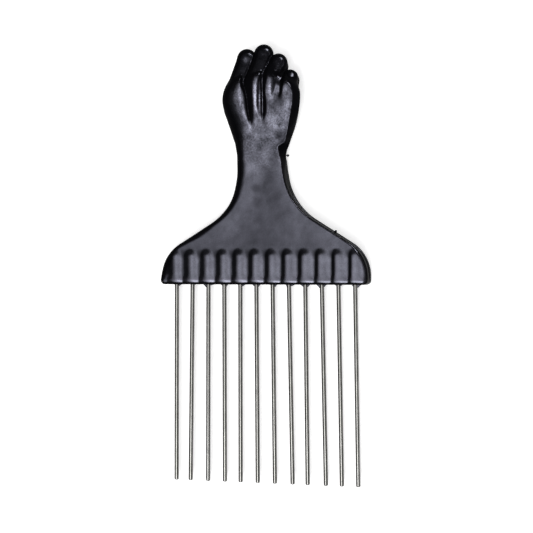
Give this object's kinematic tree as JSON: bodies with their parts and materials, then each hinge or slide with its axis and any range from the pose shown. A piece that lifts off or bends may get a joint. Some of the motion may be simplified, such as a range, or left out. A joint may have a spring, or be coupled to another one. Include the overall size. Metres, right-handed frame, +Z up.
{
  "type": "hair pick",
  "caption": "Hair pick with long straight steel wire tines set in a ribbed black plastic base, and a handle that ends in a closed fist.",
  "frame": {"origin": "under the centre of the whole pick, on the plane that it lies on", "axes": "+Y from the tines' tips to the fist, +X across the tines towards the little finger, +Z up from the table, out of the back of the hand"},
  "size_m": [0.0856, 0.1756, 0.0156],
  "materials": {
    "black_plastic": "smooth moulded black plastic with a soft gloss",
    "tine_steel": "bright drawn steel wire"
  },
  "bodies": {
    "root": {"handle": "black_plastic", "tine_01": "tine_steel", "tine_02": "tine_steel", "tine_03": "tine_steel", "tine_04": "tine_steel", "tine_05": "tine_steel", "tine_06": "tine_steel", "tine_07": "tine_steel", "tine_08": "tine_steel", "tine_09": "tine_steel", "tine_10": "tine_steel", "tine_11": "tine_steel", "tine_12": "tine_steel"}
  },
  "joints": []
}
